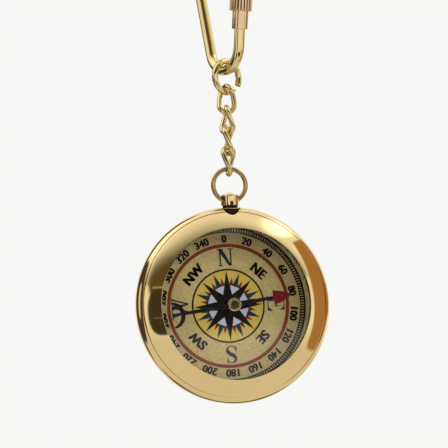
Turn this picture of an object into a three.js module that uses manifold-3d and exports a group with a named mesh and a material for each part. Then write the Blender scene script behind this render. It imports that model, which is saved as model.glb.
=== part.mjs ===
// A brass pocket compass on a key chain, hanging from its screw-lock hook.
// Millimetres, +Z up. The origin is the underside of the hook's top bend, where it hangs.
// The dial faces -Y, and everything below the hook hangs on the Z axis.
import * as THREE from "three";
import { mergeVertices } from "three/addons/utils/BufferGeometryUtils.js";
import Module from "manifold-3d";

// Hook: a pear-shaped loop of round wire, closed by a screw barrel on one arm
const hookLength = 44.7;
const hookWire = 2.5;
const hookBendRadius = 5.25;
const sleeveArmLean = 7.5;
const spineArmLean = 13.2;
const hookAzimuth = -63.5;

// Screw barrel: a plain collar below a straight-knurled body
const barrelHeight = 9.95;
const barrelCollarLength = 4.1;
const barrelCollarWall = 0.45;
const barrelGripLength = 9;
const barrelGripStep = 0.725;
const barrelRidges = 22;
const barrelRidgeDepth = 0.28;
const barrelChamfer = 0.3;
const barrelBoreClearance = 0.15;
const barrelEngagement = 1.6;
const barrelTravel = 4.2;

// Jump ring: an open ring whose ends stand a little apart sideways
const jumpRingDiameter = 8.7;
const jumpRingWire = 1.45;
const jumpRingAzimuth = 33;
const jumpRingGapAt = -40;
const jumpRingGapWidth = 18;
const jumpRingOffset = 0.7;

// Chain: twisted links. Each one is turned on the wire above it, away from square to it
const linkLength = 7.45;
const linkWidth = 4.7;
const linkWire = 1.3;
const linkTwist = 78;
const linkTurns = [14, 30, 17, 7];
const chainClearance = 0.1;

// Bow: the wire ring in the pendant
const bowDiameter = 8.6;
const bowWire = 1.05;
const bowSeamAt = 62;
const bowSeamWidth = 2;
const bowClearance = 0.1;

// Pendant: the turned post that stands in a pocket in the rim of the case
const pendantPocketDepth = 2;
const pendantCollarDiameter = 4.3;
const pendantCollarLength = 1.6;
const pendantNeckDiameter = 3.5;
const pendantNeckLength = 0.7;
const pendantHeadDiameter = 4.07;
const pendantHeadLength = 2.4;
const pendantDome = 0.65;
const pendantHoleRise = 1.22;
const pendantShankDiameter = 2;
const pendantShankWall = 0.25;
const pendantRound = 0.25;
const pendantFit = 0.15;
const pendantAboveFlank = 0.38;

// Case, from its rim inwards and from its floor to its front
const caseDiameter = 45;
const backRound = 5;
const floorThickness = 1.3;
const flankHeight = 0.98;
const shoulderRadius = 2.5;
const shoulderSweep = 57;
const domeRadius = 30;
const rimWidth = 1.3;
const bezelWidth = 4.15;
const seatAboveFlank = 1.62;
const lipRadius = 0.18;
const stackClearance = 0.1;

// Crystal, spacer and dial
const crystalThickness = 0.9;
const crystalLap = 1.65;
const crystalAboveSeat = 0.65;
const spacerLap = 0.2;
const spacerWall = 0.8;
const spacerFit = 0.15;
const dialThickness = 0.6;
const dialFit = 0.25;

// Needle and its pivot
const needleHeading = 9;
const bladeThickness = 0.35;
const bladeDepth = 5.3;
const northClearance = 5;
const arrowLength = 4.2;
const arrowWidth = 3;
const armWidth = 0.6;
const hubWall = 0.25;
const crescentRadius = 2.6;
const tailClearance = 1.7;
const crescentThickness = 0.8;
const crescentInnerRadius = 2.75;
const capOverhang = 0.08;
const capHeight = 0.7;
const capStemWall = 0.2;
const capStemLength = 0.9;
const capUnderCrystal = 0.3;
const jewelDiameter = 1.8;
const jewelThickness = 1.2;
const jewelCupDiameter = 0.9;
const jewelCupDepth = 0.5;
const pinDiameter = 0.8;
const pinPointLength = 0.9;
const pinEmbed = 0.6;
const bossDiameter = 2.6;
const bossHeight = 0.9;
const bossShankDiameter = 1.5;
const bossInFloor = 0.5;
const fit = 0.1;

// Facets
const ringSides = 8;
const linkSteps = 30;
const hookSides = 10;
const caseSegments = 60;
const smallSegments = 20;

const degrees = Math.PI / 180;
const wasm = await Module();
wasm.setup();

const finish = (color, roughness, metalness = 1) =>
  new THREE.MeshStandardMaterial({ color, roughness, metalness });

const part = new THREE.Group();
part.name = "compass_keychain";

function addPiece(name, geometry, material, parent = part) {
  const mesh = new THREE.Mesh(geometry, material);
  mesh.name = name;
  parent.add(mesh);
  return mesh;
}

// Joining and cutting: a closed geometry becomes a solid with shared corners, and comes back
function solid(geometry) {
  const bare = geometry.clone();
  bare.deleteAttribute("normal");
  bare.deleteAttribute("uv");
  const merged = mergeVertices(bare, 1e-4);
  return new wasm.Manifold(
    new wasm.Mesh({
      numProp: 3,
      vertProperties: merged.attributes.position.array,
      triVerts: new Uint32Array(merged.index.array),
    }),
  );
}

function geometryOf(body) {
  const mesh = body.getMesh();
  const geometry = new THREE.BufferGeometry();
  geometry.setAttribute("position", new THREE.BufferAttribute(mesh.vertProperties, 3));
  geometry.setIndex(new THREE.BufferAttribute(mesh.triVerts, 1));
  return geometry;
}

// A profile of [radius, height] pairs turned about the Y axis, wound so that faces point out
function turned(profile, segments) {
  const points = profile.map(([radius, height]) => new THREE.Vector2(radius, height));
  if (points[0].x > 0) points.push(points[0].clone());
  if (THREE.ShapeUtils.isClockWise(points)) points.reverse();
  return new THREE.LatheGeometry(points, segments);
}

// The same profile turned about the Z axis
const turnedUpright = (profile, segments) => turned(profile, segments).rotateX(Math.PI / 2);

// A rod along Z between two heights
function rod(diameter, low, high, segments = smallSegments) {
  const radius = diameter / 2;
  return turnedUpright([[0, low], [radius, low], [radius, high], [0, high]], segments);
}

// A wire's centre line given by its stations, so that a straight run takes one step
class WirePath extends THREE.Curve {
  constructor(stations) {
    super();
    this.stations = stations;
  }
  station(u) {
    return this.stations[Math.round(u * (this.stations.length - 1))];
  }
  getPointAt(u) {
    return this.station(u).point.clone();
  }
  getTangentAt(u) {
    return this.station(u).tangent.clone();
  }
}

// Round wire with flat ends, bent along a path
function openWire(path, diameter, sides) {
  const section = new THREE.Shape().absarc(0, 0, diameter / 2, 0, 2 * Math.PI);
  return new THREE.ExtrudeGeometry(section, {
    extrudePath: path,
    steps: path.stations.length - 1,
    curveSegments: sides / 2,
    bevelEnabled: false,
  });
}

// Stations along an arc in the XZ plane: angles are counter-clockwise from +X
function arcStations(centreX, centreZ, radius, from, to, steps) {
  const turn = Math.sign(to - from);
  return Array.from({ length: steps + 1 }, (_, i) => {
    const angle = (from + ((to - from) * i) / steps) * degrees;
    const outX = Math.cos(angle);
    const outZ = Math.sin(angle);
    return {
      point: new THREE.Vector3(centreX + radius * outX, 0, centreZ + radius * outZ),
      tangent: new THREE.Vector3(-outZ * turn, 0, outX * turn),
    };
  });
}

// Hook outline. Both arms are tangent to the small bottom bend and to the big top bend, so
// the two bends are circles in one wedge, and the top one is as large as the length allows.
const wedgeHalf = ((sleeveArmLean + spineArmLean) / 2) * degrees;
const wedgeTurn = ((spineArmLean - sleeveArmLean) / 2) * degrees;
const centreHeight = hookLength - hookWire;
const wedgeSlope = Math.cos(wedgeTurn) / Math.sin(wedgeHalf);
const crownRadius =
  (centreHeight - hookBendRadius + hookBendRadius * wedgeSlope) / (1 + wedgeSlope);
const bendsApart = (crownRadius - hookBendRadius) / Math.sin(wedgeHalf);
const crownX = -bendsApart * Math.sin(wedgeTurn);
const crownAboveBottom = hookBendRadius + bendsApart * Math.cos(wedgeTurn);

// Heights of the wire's centre at the bottom bend and of the big bend's centre
const crownInner = Math.sqrt((crownRadius - hookWire / 2) ** 2 - crownX ** 2);
const hookBottomZ = -(crownAboveBottom + crownInner);
const crownZ = hookBottomZ + crownAboveBottom;
const bendZ = hookBottomZ + hookBendRadius;

// The sleeve arm, from its tangent point on the bottom bend upwards
const armDirection = new THREE.Vector3(
  Math.sin(sleeveArmLean * degrees), 0, Math.cos(sleeveArmLean * degrees));
const armStart = new THREE.Vector3(
  hookBendRadius * Math.cos(sleeveArmLean * degrees), 0,
  bendZ - hookBendRadius * Math.sin(sleeveArmLean * degrees));
const barrelStart =
  (hookBottomZ - hookWire / 2 + barrelHeight - armStart.z) / armDirection.z;
const barrelEnd = barrelStart + barrelCollarLength + barrelGripLength;
const upperWireEnd = barrelEnd - barrelEngagement;
const lowerWireEnd = barrelEnd - barrelTravel - 2 * fit;
const onArm = (distance) => armStart.clone().addScaledVector(armDirection, distance);

const hookGroup = new THREE.Group();
hookGroup.rotation.z = hookAzimuth * degrees;
part.add(hookGroup);

const hookStations = [
  { point: onArm(lowerWireEnd), tangent: armDirection.clone().negate() },
  ...arcStations(0, bendZ, hookBendRadius, -sleeveArmLean, -180 + spineArmLean, 12),
  ...arcStations(crownX, crownZ, crownRadius, 180 + spineArmLean, -sleeveArmLean, 22),
  { point: onArm(upperWireEnd), tangent: armDirection.clone().negate() },
];
const brass = () => finish(0xd9b871, 0.22);
addPiece("hook_wire", openWire(new WirePath(hookStations), hookWire, hookSides), brass(), hookGroup);

// The barrel: the knurl is a ring of ridges with a flat and a groove each, cut back to a
// chamfer at both ends by a turned envelope, on a plain collar. A ridge's four corners are
// given as shares of its pitch: the flat's two, then the groove's two.
const ridgeCorners = [0.02, 0.5, 0.64, 0.88];
const barrelBoreDiameter = hookWire + 2 * barrelBoreClearance;
const barrelCollarDiameter = barrelBoreDiameter + 2 * barrelCollarWall;
function barrelGeometry() {
  const outer = barrelCollarDiameter / 2 + barrelGripStep;
  const outline = new THREE.Shape(
    Array.from({ length: barrelRidges * 4 }, (_, i) => {
      const onRidge = i % 4 < 2;
      const turns = (Math.floor(i / 4) + ridgeCorners[i % 4]) / barrelRidges;
      const angle = turns * 2 * Math.PI;
      const radius = onRidge ? outer : outer - barrelRidgeDepth;
      return new THREE.Vector2(radius * Math.cos(angle), radius * Math.sin(angle));
    }),
  );
  const ridges = new THREE.ExtrudeGeometry(outline, { depth: barrelGripLength, bevelEnabled: false });
  const gripTop = barrelCollarLength + barrelGripLength;
  ridges.translate(0, 0, barrelCollarLength);
  const envelope = turnedUpright([
    [0, barrelCollarLength],
    [outer - barrelChamfer, barrelCollarLength],
    [outer + fit, barrelCollarLength + barrelChamfer + fit],
    [outer + fit, gripTop - barrelChamfer - fit],
    [outer - barrelChamfer, gripTop],
    [0, gripTop],
  ], 2 * barrelRidges);
  const collar = rod(barrelCollarDiameter, 0, barrelCollarLength + barrelChamfer, 24);
  const bore = rod(barrelBoreDiameter, -1, gripTop + 1, 24);
  return geometryOf(
    solid(ridges).intersect(solid(envelope)).add(solid(collar)).subtract(solid(bore)));
}
const barrel = addPiece("lock_barrel", barrelGeometry(), finish(0xdcbb84, 0.3), hookGroup);
barrel.position.copy(onArm(barrelStart));
barrel.rotation.y = sleeveArmLean * degrees;

// A ring or link hangs with its top inside the piece above and a small clearance between them
const hangsFrom = (wireZ, upperWire, ownWire) =>
  wireZ + upperWire / 2 + ownWire / 2 + chainClearance;

// Jump ring: one turn of a shallow helix, which stands in its own plane where link 1 hangs
const jumpRingRadius = (jumpRingDiameter - jumpRingWire) / 2;
const jumpRingZ = hangsFrom(hookBottomZ, hookWire, jumpRingWire) - jumpRingRadius;
function jumpRingGeometry() {
  const from = jumpRingGapAt + jumpRingGapWidth / 2;
  const to = jumpRingGapAt + 360 - jumpRingGapWidth / 2;
  const stations = arcStations(0, 0, jumpRingRadius, from, to, 28);
  stations.forEach(({ point }, i) => {
    const angle = from + ((to - from) * i) / (stations.length - 1);
    point.y = (jumpRingOffset * (angle - 270)) / 360;
  });
  return openWire(new WirePath(stations), jumpRingWire, ringSides);
}
const jumpRing = addPiece("jump_ring", jumpRingGeometry(), brass());
jumpRing.position.z = jumpRingZ;
jumpRing.rotation.z = jumpRingAzimuth * degrees;

// A link's centre line: a long loop with round ends, whose plane turns as it goes down
class TwistedLoop extends THREE.Curve {
  constructor(length, width, twist) {
    super();
    this.length = length;
    this.side = length - width;
    this.bend = width / 2;
    this.twist = twist;
  }
  getPoint(t, target = new THREE.Vector3()) {
    const arc = Math.PI * this.bend;
    const half = arc + this.side;
    const secondHalf = t >= 0.5;
    const along = (secondHalf ? t - 0.5 : t) * 2 * half;
    const angle = Math.min(along, arc) / this.bend;
    const x = this.bend * Math.cos(angle);
    const z = this.side / 2 + this.bend * Math.sin(angle) - Math.max(along - arc, 0);
    const across = secondHalf ? -x : x;
    const up = secondHalf ? -z : z;
    const turn = (-this.twist * up) / this.length;
    return target.set(across * Math.cos(turn), across * Math.sin(turn), up);
  }
}

// Chain: each link's top plane stands near square to the wire that it hangs on
const linkInner = linkLength - linkWire;
const linkGeometry = new THREE.TubeGeometry(
  new TwistedLoop(linkInner, linkWidth - linkWire, linkTwist * degrees),
  linkSteps, linkWire / 2, ringSides, true);
let wireZ = jumpRingZ - jumpRingRadius;
let wireAzimuth = jumpRingAzimuth;
let wireAbove = jumpRingWire;
linkTurns.forEach((linkTurn, i) => {
  const topAzimuth = wireAzimuth + 90 - linkTurn;
  const link = addPiece(`chain_link_${i + 1}`, linkGeometry, brass());
  link.position.z = hangsFrom(wireZ, wireAbove, linkWire) - linkInner / 2;
  link.rotation.z = (topAzimuth + linkTwist / 2) * degrees;
  wireZ = link.position.z - linkInner / 2;
  wireAzimuth = topAzimuth + linkTwist - 180;
  wireAbove = linkWire;
});

// Bow: its plane lies along the case, and its two ends meet at a seam
const bowRadius = (bowDiameter - bowWire) / 2;
const bowZ = hangsFrom(wireZ, wireAbove, bowWire) - bowRadius;
const bowStations = arcStations(
  0, 0, bowRadius, bowSeamAt + bowSeamWidth / 2, bowSeamAt + 360 - bowSeamWidth / 2, 36);
addPiece("bow_ring", openWire(new WirePath(bowStations), bowWire, ringSides), brass())
  .position.z = bowZ;

// Radii inside the case, each from the one outside it
const caseRadius = caseDiameter / 2;
const seamRadius = caseRadius - rimWidth;
const windowRadius = seamRadius - bezelWidth;
const crystalRadius = windowRadius + crystalLap;
const spacerInnerRadius = crystalRadius - spacerLap;
const spacerOuterRadius = spacerInnerRadius + spacerWall;
const wellRadius = spacerOuterRadius + spacerFit;

// Depths in the case, from the dial face towards the viewer. The needle sets the crystal's
// depth, the crystal sets the bezel's seat, and the seat sets the rim.
const capSeat = bladeDepth + bladeThickness + fit / 2;
const capTopDepth = bladeDepth + bladeThickness + capHeight;
const crystalDepth = capTopDepth + capUnderCrystal;
const crystalTop = crystalDepth + crystalThickness;
const bezelSeatDepth = crystalDepth - crystalAboveSeat;
const flankTop = bezelSeatDepth - seatAboveFlank;
const backCurveTop = flankTop - flankHeight;
const wellFloorDepth = -dialThickness - stackClearance;
const backDepth = wellFloorDepth - floorThickness;
const bossShankBottom = wellFloorDepth - bossInFloor;
const pendantDepth = flankTop + pendantAboveFlank;

// Heights on the pendant, from the compass axis upwards
const pendantSeat = caseRadius - pendantPocketDepth;
const pendantShankBottom = wellRadius + pendantShankWall;
const pendantCollarTop = pendantSeat + pendantCollarLength;
const pendantHeadBottom = pendantCollarTop + pendantNeckLength;
const pendantHeadTop = pendantHeadBottom + pendantHeadLength;
const pendantHoleHeight = pendantHeadBottom + pendantHoleRise;

// The bow's bottom rises towards both sides of the head, and the cross hole takes that rise
const headRadius = pendantHeadDiameter / 2;
const bowRise = bowRadius - Math.sqrt(bowRadius ** 2 - headRadius ** 2);
const bowSlope = Math.asin(headRadius / bowRadius);
const pendantHoleRadius = bowRise / 2 + bowWire / 2 / Math.cos(bowSlope) + bowClearance;
const pendantHoleZ = bowZ - bowRadius + bowRise / 2;
const caseZ = pendantHoleZ - pendantHoleHeight;

// Everything in the case is turned about the compass axis, which runs through this group
const caseGroup = new THREE.Group();
caseGroup.position.z = caseZ;
part.add(caseGroup);
const atDepth = (profile) => profile.map(([radius, depth]) => [radius, pendantDepth - depth]);
const turnedInCase = (profile, segments = caseSegments) => turned(atDepth(profile), segments);

// Pendant post, with its shank in the rim of the case
const pendantProfile = [
  [0, pendantShankBottom],
  [pendantShankDiameter / 2, pendantShankBottom],
  [pendantShankDiameter / 2, pendantSeat],
  [pendantCollarDiameter / 2, pendantSeat],
  [pendantCollarDiameter / 2, pendantCollarTop - pendantRound],
  [pendantCollarDiameter / 2 - pendantRound, pendantCollarTop],
  [pendantNeckDiameter / 2, pendantCollarTop],
  [pendantNeckDiameter / 2, pendantHeadBottom],
  [headRadius - pendantRound, pendantHeadBottom],
  [headRadius, pendantHeadBottom + pendantRound],
  [headRadius, pendantHeadTop - pendantRound],
  [headRadius - pendantRound, pendantHeadTop],
  [headRadius / 2, pendantHeadTop + pendantDome * 0.55],
  [headRadius / 5, pendantHeadTop + pendantDome],
  [0, pendantHeadTop + pendantDome],
];
const crossHole = rod(2 * pendantHoleRadius, -pendantHeadDiameter, pendantHeadDiameter, 24)
  .rotateY(Math.PI / 2)
  .translate(0, 0, pendantHoleHeight);
addPiece(
  "pendant_post",
  geometryOf(solid(turnedUpright(pendantProfile, 24)).subtract(solid(crossHole))),
  finish(0xdcb27c, 0.2),
  caseGroup,
);

// The front of the case in section: a small shoulder arc off the flank, then the long flat
// arc of the bezel, tangent to it. Angles are those of the outward normal.
const sweep = shoulderSweep * degrees;
const shoulderX = caseRadius - shoulderRadius;
const domeX = shoulderX - (domeRadius - shoulderRadius) * Math.cos(sweep);
const domeDepth = flankTop - (domeRadius - shoulderRadius) * Math.sin(sweep);
const onShoulder = (angle) => [
  shoulderX + shoulderRadius * Math.cos(angle),
  flankTop + shoulderRadius * Math.sin(angle),
];
const onDome = (radius) => [
  radius,
  domeDepth + Math.sqrt(domeRadius ** 2 - (radius - domeX) ** 2),
];
const steps = (count, from, to, at) =>
  Array.from({ length: count + 1 }, (_, i) => at(from + ((to - from) * i) / count));

// The pocket for the pendant's collar and the hole for its shank
const pendantPocket = rod(
  pendantCollarDiameter + 2 * pendantFit, pendantSeat - pendantFit, caseRadius + 1, 24);
const pendantHole = rod(
  pendantShankDiameter + 2 * pendantFit, pendantShankBottom - pendantFit, caseRadius, 24);

// Case body: flat back, rounded sides, and a rabbet that the bezel is pressed into
const backCurve = steps(8, -90, 0, (angle) => [
  caseRadius - backRound + backRound * Math.cos(angle * degrees),
  backCurveTop + (backCurveTop - backDepth) * Math.sin(angle * degrees),
]);
const bodyRimRadius = seamRadius + stackClearance;
const bodyProfile = [
  [0, backDepth],
  ...backCurve,
  ...steps(5, 0, sweep, onShoulder),
  onDome(bodyRimRadius),
  [bodyRimRadius, bezelSeatDepth],
  [wellRadius, bezelSeatDepth],
  [wellRadius, wellFloorDepth],
  [0, wellFloorDepth],
];
const bossPocket = turnedInCase([
  [0, wellFloorDepth + 1],
  [bossShankDiameter / 2 + fit, wellFloorDepth + 1],
  [bossShankDiameter / 2 + fit, bossShankBottom],
  [0, bossShankBottom],
], smallSegments);
addPiece(
  "case_body",
  geometryOf(
    solid(turnedInCase(bodyProfile))
      .subtract(solid(pendantPocket))
      .subtract(solid(pendantHole))
      .subtract(solid(bossPocket))),
  finish(0xd8b068, 0.16),
  caseGroup,
);

// Bezel: a ring whose lip holds the crystal down
const lipDepth = crystalTop + stackClearance;
const crystalSeat = crystalRadius + fit;
const bezelProfile = [
  [seamRadius, bezelSeatDepth + stackClearance],
  ...steps(6, seamRadius, windowRadius + lipRadius, onDome),
  [windowRadius, onDome(windowRadius)[1] - lipRadius],
  [windowRadius, lipDepth],
  [crystalSeat, lipDepth],
  [crystalSeat, crystalDepth],
  [wellRadius, crystalDepth],
  [wellRadius, bezelSeatDepth + stackClearance],
];
addPiece(
  "bezel",
  geometryOf(solid(turnedInCase(bezelProfile)).subtract(solid(pendantPocket))),
  finish(0xdcb878, 0.14),
  caseGroup,
);

// A flat disc or ring in the case between two depths
const disc = (inner, outer, low, high, segments = caseSegments) =>
  turnedInCase([[inner, low], [outer, low], [outer, high], [inner, high]], segments);

const crystal = addPiece(
  "crystal",
  disc(0, crystalRadius, crystalDepth, crystalTop),
  finish(0xf4f6f4, 0.03, 0),
  caseGroup,
);
crystal.material.transparent = true;
crystal.material.opacity = 0.15;

addPiece(
  "spacer_ring",
  disc(spacerInnerRadius, spacerOuterRadius, fit, crystalDepth - fit),
  finish(0xb89a62, 0.35),
  caseGroup,
);
addPiece(
  "dial_plate",
  disc(bossShankDiameter / 2 + fit, wellRadius - dialFit, -dialThickness, 0),
  finish(0xc4b184, 0.5, 0),
  caseGroup,
);

// Pivot: a flanged boss through the dial, holding a pointed steel pin
const bossTop = fit + bossHeight;
const pinBottom = bossTop - pinEmbed;
const jewelBottom = bladeDepth + bladeThickness / 2 + fit - jewelThickness / 2;
const cupApex = jewelBottom + jewelCupDepth;
const pinTip = cupApex - fit;
const pinRadius = pinDiameter / 2;
addPiece(
  "pivot_boss",
  turnedInCase([
    [0, fit + bossShankBottom],
    [bossShankDiameter / 2, fit + bossShankBottom],
    [bossShankDiameter / 2, fit],
    [bossDiameter / 2, fit],
    [bossDiameter / 2, bossTop - 2 * fit],
    [bossDiameter / 2 - 2 * fit, bossTop],
    [pinRadius + fit, bossTop],
    [pinRadius + fit, pinBottom - fit],
    [0, pinBottom - fit],
  ], smallSegments),
  finish(0xb58d4a, 0.35),
  caseGroup,
);
addPiece(
  "pivot_pin",
  turnedInCase([
    [0, pinBottom],
    [pinRadius, pinBottom],
    [pinRadius, pinTip - pinPointLength],
    [0, pinTip],
  ], smallSegments),
  finish(0xb9bcc0, 0.25),
  caseGroup,
);

// Needle: everything here turns together on the pin
const needle = new THREE.Group();
needle.rotation.y = -needleHeading * degrees;
caseGroup.add(needle);

// Blade outline, north to +X: hub disc, tapering arms, an arrowhead and a crescent tail
const capBore = jewelDiameter / 2 + fit / 2;
const capStemRadius = capBore + capStemWall;
const hub = capStemRadius + fit + hubWall;
function bladeGeometry() {
  const northReach = spacerInnerRadius - northClearance;
  const arm = armWidth / 2;
  const hubAngle = Math.asin((1.5 * arm) / hub);
  const outerX = crescentRadius + tailClearance - spacerInnerRadius;
  const innerX = outerX + crescentRadius - crescentThickness - crescentInnerRadius;
  const apart = outerX - innerX;
  const hornX = (crescentInnerRadius ** 2 - crescentRadius ** 2 - apart ** 2) / (2 * apart);
  const hornY = Math.sqrt(crescentRadius ** 2 - hornX ** 2);
  const armAngle = Math.asin(arm / crescentRadius);
  const outline = new THREE.Shape();
  outline.moveTo(northReach, 0);
  outline.lineTo(northReach - arrowLength, arrowWidth / 2);
  outline.lineTo(northReach - arrowLength, arm);
  outline.absarc(0, 0, hub, hubAngle, Math.PI - hubAngle, false);
  outline.absarc(outerX, 0, crescentRadius, armAngle, Math.atan2(hornY, hornX), false);
  outline.absarc(
    innerX, 0, crescentInnerRadius,
    Math.atan2(hornY, hornX + apart), -Math.atan2(hornY, hornX + apart), true);
  outline.absarc(outerX, 0, crescentRadius, -Math.atan2(hornY, hornX), -armAngle, false);
  outline.absarc(0, 0, hub, Math.PI + hubAngle, 2 * Math.PI - hubAngle, false);
  outline.lineTo(northReach - arrowLength, -arm);
  outline.lineTo(northReach - arrowLength, -arrowWidth / 2);
  const eye = new THREE.Path();
  eye.absarc(0, 0, capStemRadius + fit, 0, 2 * Math.PI, true);
  outline.holes.push(eye);
  return new THREE.ExtrudeGeometry(outline, {
    depth: bladeThickness,
    curveSegments: 8,
    bevelEnabled: false,
  })
    .rotateX(Math.PI / 2)
    .translate(0, pendantDepth - bladeDepth, 0);
}
addPiece("needle_blade", bladeGeometry(), finish(0x1b1a1c, 0.4, 0.6), needle);

// Cap: a flanged brass bush whose stem fills the blade's eye
const capRadius = hub + capOverhang;
addPiece(
  "needle_cap",
  turnedInCase([
    [capBore, capSeat - capStemLength],
    [capStemRadius, capSeat - capStemLength],
    [capStemRadius, capSeat],
    [capRadius, capSeat],
    [capRadius, capTopDepth - fit],
    [capRadius - fit, capTopDepth],
    [capBore, capTopDepth],
  ], 24),
  finish(0xcfae6e, 0.25),
  needle,
);

// Jewel: a small cup with a cone in its underside, which sits on the pin's point
addPiece(
  "needle_jewel",
  turnedInCase([
    [jewelCupDiameter / 2, jewelBottom],
    [jewelDiameter / 2, jewelBottom],
    [jewelDiameter / 2, jewelBottom + jewelThickness],
    [0, jewelBottom + jewelThickness],
    [0, cupApex],
  ], smallSegments),
  finish(0x5a3f26, 0.15, 0),
  needle,
);

export default part;
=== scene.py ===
# %% [markdown]
# This lesson dresses a brass pocket compass that hangs on a key chain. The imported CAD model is
# the frame: it fixes where every piece is and how it moves. The cells below add finer surfaces
# over its coarse ones, print the dial, and give every piece its finish.

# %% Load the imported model
import math

import bmesh
import bpy
import numpy as np
from mathutils import Matrix, Vector


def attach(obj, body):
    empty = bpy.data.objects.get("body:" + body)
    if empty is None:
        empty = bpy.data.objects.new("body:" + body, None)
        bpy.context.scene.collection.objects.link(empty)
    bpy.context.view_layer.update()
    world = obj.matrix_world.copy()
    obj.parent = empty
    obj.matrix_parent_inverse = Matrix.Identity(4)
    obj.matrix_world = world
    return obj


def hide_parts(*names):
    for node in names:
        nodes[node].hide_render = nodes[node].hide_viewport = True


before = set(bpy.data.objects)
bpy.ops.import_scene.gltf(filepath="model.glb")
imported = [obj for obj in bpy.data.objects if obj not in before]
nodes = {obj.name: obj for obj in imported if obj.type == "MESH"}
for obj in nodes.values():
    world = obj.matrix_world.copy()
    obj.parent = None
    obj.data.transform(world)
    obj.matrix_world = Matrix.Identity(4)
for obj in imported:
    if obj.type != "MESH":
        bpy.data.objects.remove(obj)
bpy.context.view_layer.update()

# %% [markdown]
# The camera comes first, because everything else is judged through it. The photograph was taken
# with a long lens from a little to the left of the dial and a little below it, and the frame
# was turned slightly, so the chain leans to the right as it goes down. The aim is worked out so
# that the middle of the case falls on its own pixel in a square frame 448 pixels wide.

# %% Camera
CASE_CENTRE = Vector((0, 0, -0.09495))
CASE_PIXEL = (233.4, 305.0)
FRAME_PIXELS, FOCAL_PIXELS, SENSOR_WIDTH = 448, 3066, 36
CAMERA_AZIMUTH, CAMERA_ELEVATION, CAMERA_ROLL, CAMERA_DISTANCE = -11.6, -3.8, -1.9, 0.7


def direction(azimuth, elevation):
    """Unit vectors out from the case: azimuth 0 is in front of the dial, 90 to its right."""
    a, e = np.radians(azimuth), np.radians(elevation)
    return np.stack([np.sin(a) * np.cos(e), -np.cos(a) * np.cos(e), np.sin(e)], axis=-1)


def new_object(name, data):
    """An object in the scene that holds this data."""
    made = bpy.data.objects.new(name, data)
    bpy.context.scene.collection.objects.link(made)
    return made


camera_data = bpy.data.cameras.new("camera")
camera_data.sensor_width = SENSOR_WIDTH
camera_data.lens = FOCAL_PIXELS * SENSOR_WIDTH / FRAME_PIXELS
camera = new_object("camera", camera_data)
bpy.context.scene.camera = camera

from_case = Vector(direction(CAMERA_AZIMUTH, CAMERA_ELEVATION))
right, down = ((pixel - FRAME_PIXELS / 2) / FOCAL_PIXELS for pixel in CASE_PIXEL)
to_case_in_camera = Vector((right, -down, -1)).normalized()
aim = (-from_case).to_track_quat("-Z", "Y").to_matrix()
shift = to_case_in_camera.rotation_difference(Vector((0, 0, -1))).to_matrix()
roll = Matrix.Rotation(math.radians(CAMERA_ROLL), 3, "Z")
camera.matrix_world = Matrix.Translation(
    CASE_CENTRE + CAMERA_DISTANCE * from_case) @ (aim @ roll @ shift).to_4x4()
print("camera at", tuple(round(v, 4) for v in camera.matrix_world.translation))

# %% [markdown]
# Every new piece here is a surface over a grid: a function of two parameters gives all its
# points at once as a numpy array, and one helper joins neighbours into faces. Sizes are in
# millimetres, and the helper turns them into Blender's metres as it makes the mesh. A closed
# surface has its doubled points merged and its faces turned outwards.

# %% Grids into meshes
MM = 0.001


def grid_faces(rows, columns, wrap_rows=False, wrap_columns=False):
    """Four corner numbers for each cell of a grid; a wrapped direction joins its two ends."""
    number = np.arange(rows * columns).reshape(rows, columns)
    if wrap_rows:
        number = np.vstack([number, number[:1]])
    if wrap_columns:
        number = np.hstack([number, number[:, :1]])
    corners = (number[:-1, :-1], number[1:, :-1], number[1:, 1:], number[:-1, 1:])
    return np.stack(corners, axis=-1).reshape(-1, 4)


def shape_of(grid, **wrapped):
    """A grid of points as a shape: its points in one list, and its faces."""
    return grid.reshape(-1, grid.shape[-1]), grid_faces(*grid.shape[:2], **wrapped)


def joined(shapes):
    """Several shapes as one."""
    points, faces, first = [], [], 0
    for part_points, part_faces in shapes:
        points.append(part_points)
        faces += [[first + int(i) for i in face] for face in part_faces]
        first += len(part_points)
    return np.concatenate(points), faces


def add_mesh(name, points, faces):
    """A new object at the origin, with these points in millimetres and these faces."""
    mesh = bpy.data.meshes.new(name)
    faces = faces.tolist() if isinstance(faces, np.ndarray) else faces
    mesh.from_pydata(np.asarray(points).reshape(-1, 3) * MM, [], faces)
    return new_object(name, mesh)


def close_up(piece, sharp=35):
    """Merges doubled points, turns faces outwards and shades smooth up to a sharp angle."""
    cleaned = bmesh.new()
    cleaned.from_mesh(piece.data)
    bmesh.ops.remove_doubles(cleaned, verts=cleaned.verts, dist=1e-7)
    bmesh.ops.recalc_face_normals(cleaned, faces=cleaned.faces)
    cleaned.to_mesh(piece.data)
    cleaned.free()
    piece.data.shade_smooth()
    piece.data.set_sharp_from_angle(angle=math.radians(sharp))
    return piece


def closed_surface(name, grids, sharp=35):
    """One piece from one or more grids of rings; each grid's columns wrap round."""
    shapes = [shape_of(grid, wrap_columns=True) for grid in grids]
    return close_up(add_mesh(name, *joined(shapes)), sharp)


# %% [markdown]
# Most of the object is round wire or turned brass. A wire is a circle carried along a centre
# line, and it closes at both ends with a small rounded edge. A turned piece is a profile of
# radius and height carried round an axis. Filing a corner round is done on the profile, so that
# each edge catches light as a real one does.

# %% Wires and turned forms
def unit(vectors):
    """Each vector divided by its own length."""
    return vectors / np.linalg.norm(vectors, axis=-1, keepdims=True)


def square_to(tangent, side):
    """The side direction made square to the tangent, and the direction square to both."""
    side = np.asarray(side)
    side = unit(side - np.sum(side * tangent, axis=-1, keepdims=True) * tangent)
    return side, np.cross(tangent, side)


def circles(centre, side, up, radius, around):
    """A circle at each point of a line: centre + radius (cos a side + sin a up)."""
    angle = np.linspace(0, 2 * np.pi, around, endpoint=False)[None, :, None]
    ring = np.cos(angle) * side[:, None] + np.sin(angle) * up[:, None]
    return centre[:, None] + radius[:, None, None] * ring


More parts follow.
